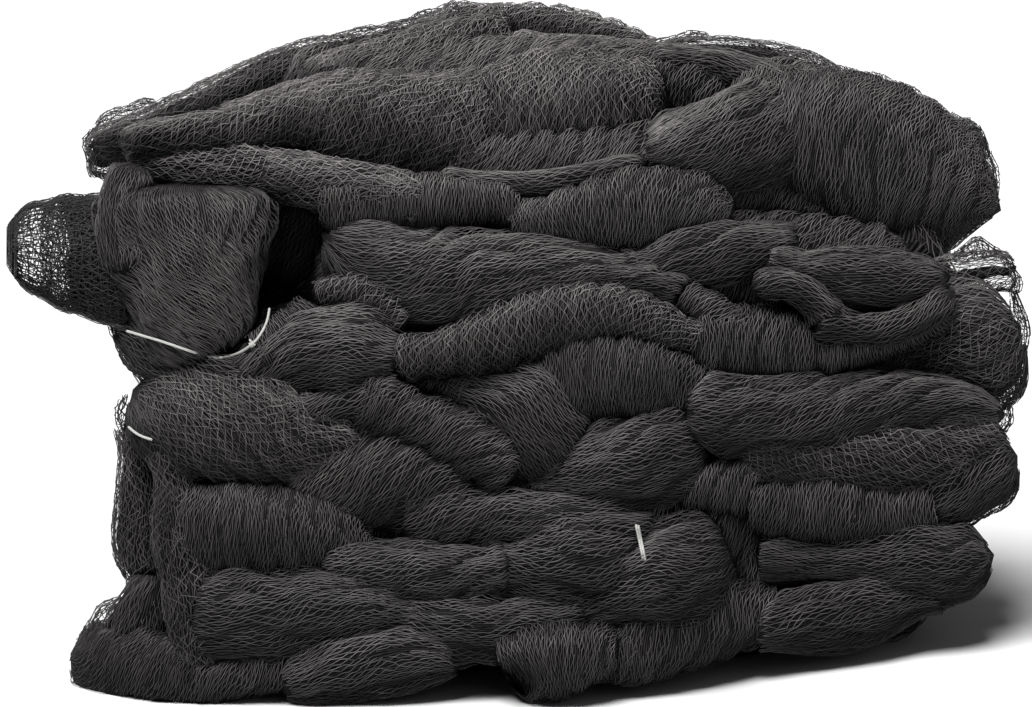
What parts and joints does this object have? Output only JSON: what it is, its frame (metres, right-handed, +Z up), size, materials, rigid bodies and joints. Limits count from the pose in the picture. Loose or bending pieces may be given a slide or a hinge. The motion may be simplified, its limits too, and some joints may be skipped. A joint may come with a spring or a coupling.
{
  "type": "pond netting",
  "caption": "Long black pond net gathered into a soft rope and heaped back and forth, with bits of white tying twine.",
  "frame": {"origin": "centre of the heap's box, on the floor it rests on", "axes": "+X to the right as the heap's face is seen, +Y away from its face, +Z up"},
  "size_m": [1.0458, 0.6631, 0.659],
  "materials": {
    "net": "matt",
    "twine": "matt"
  },
  "bodies": {
    "root": {"netting": "net", "end_tie": "twine", "front_tie": "twine", "side_tie": "twine"}
  },
  "joints": []
}
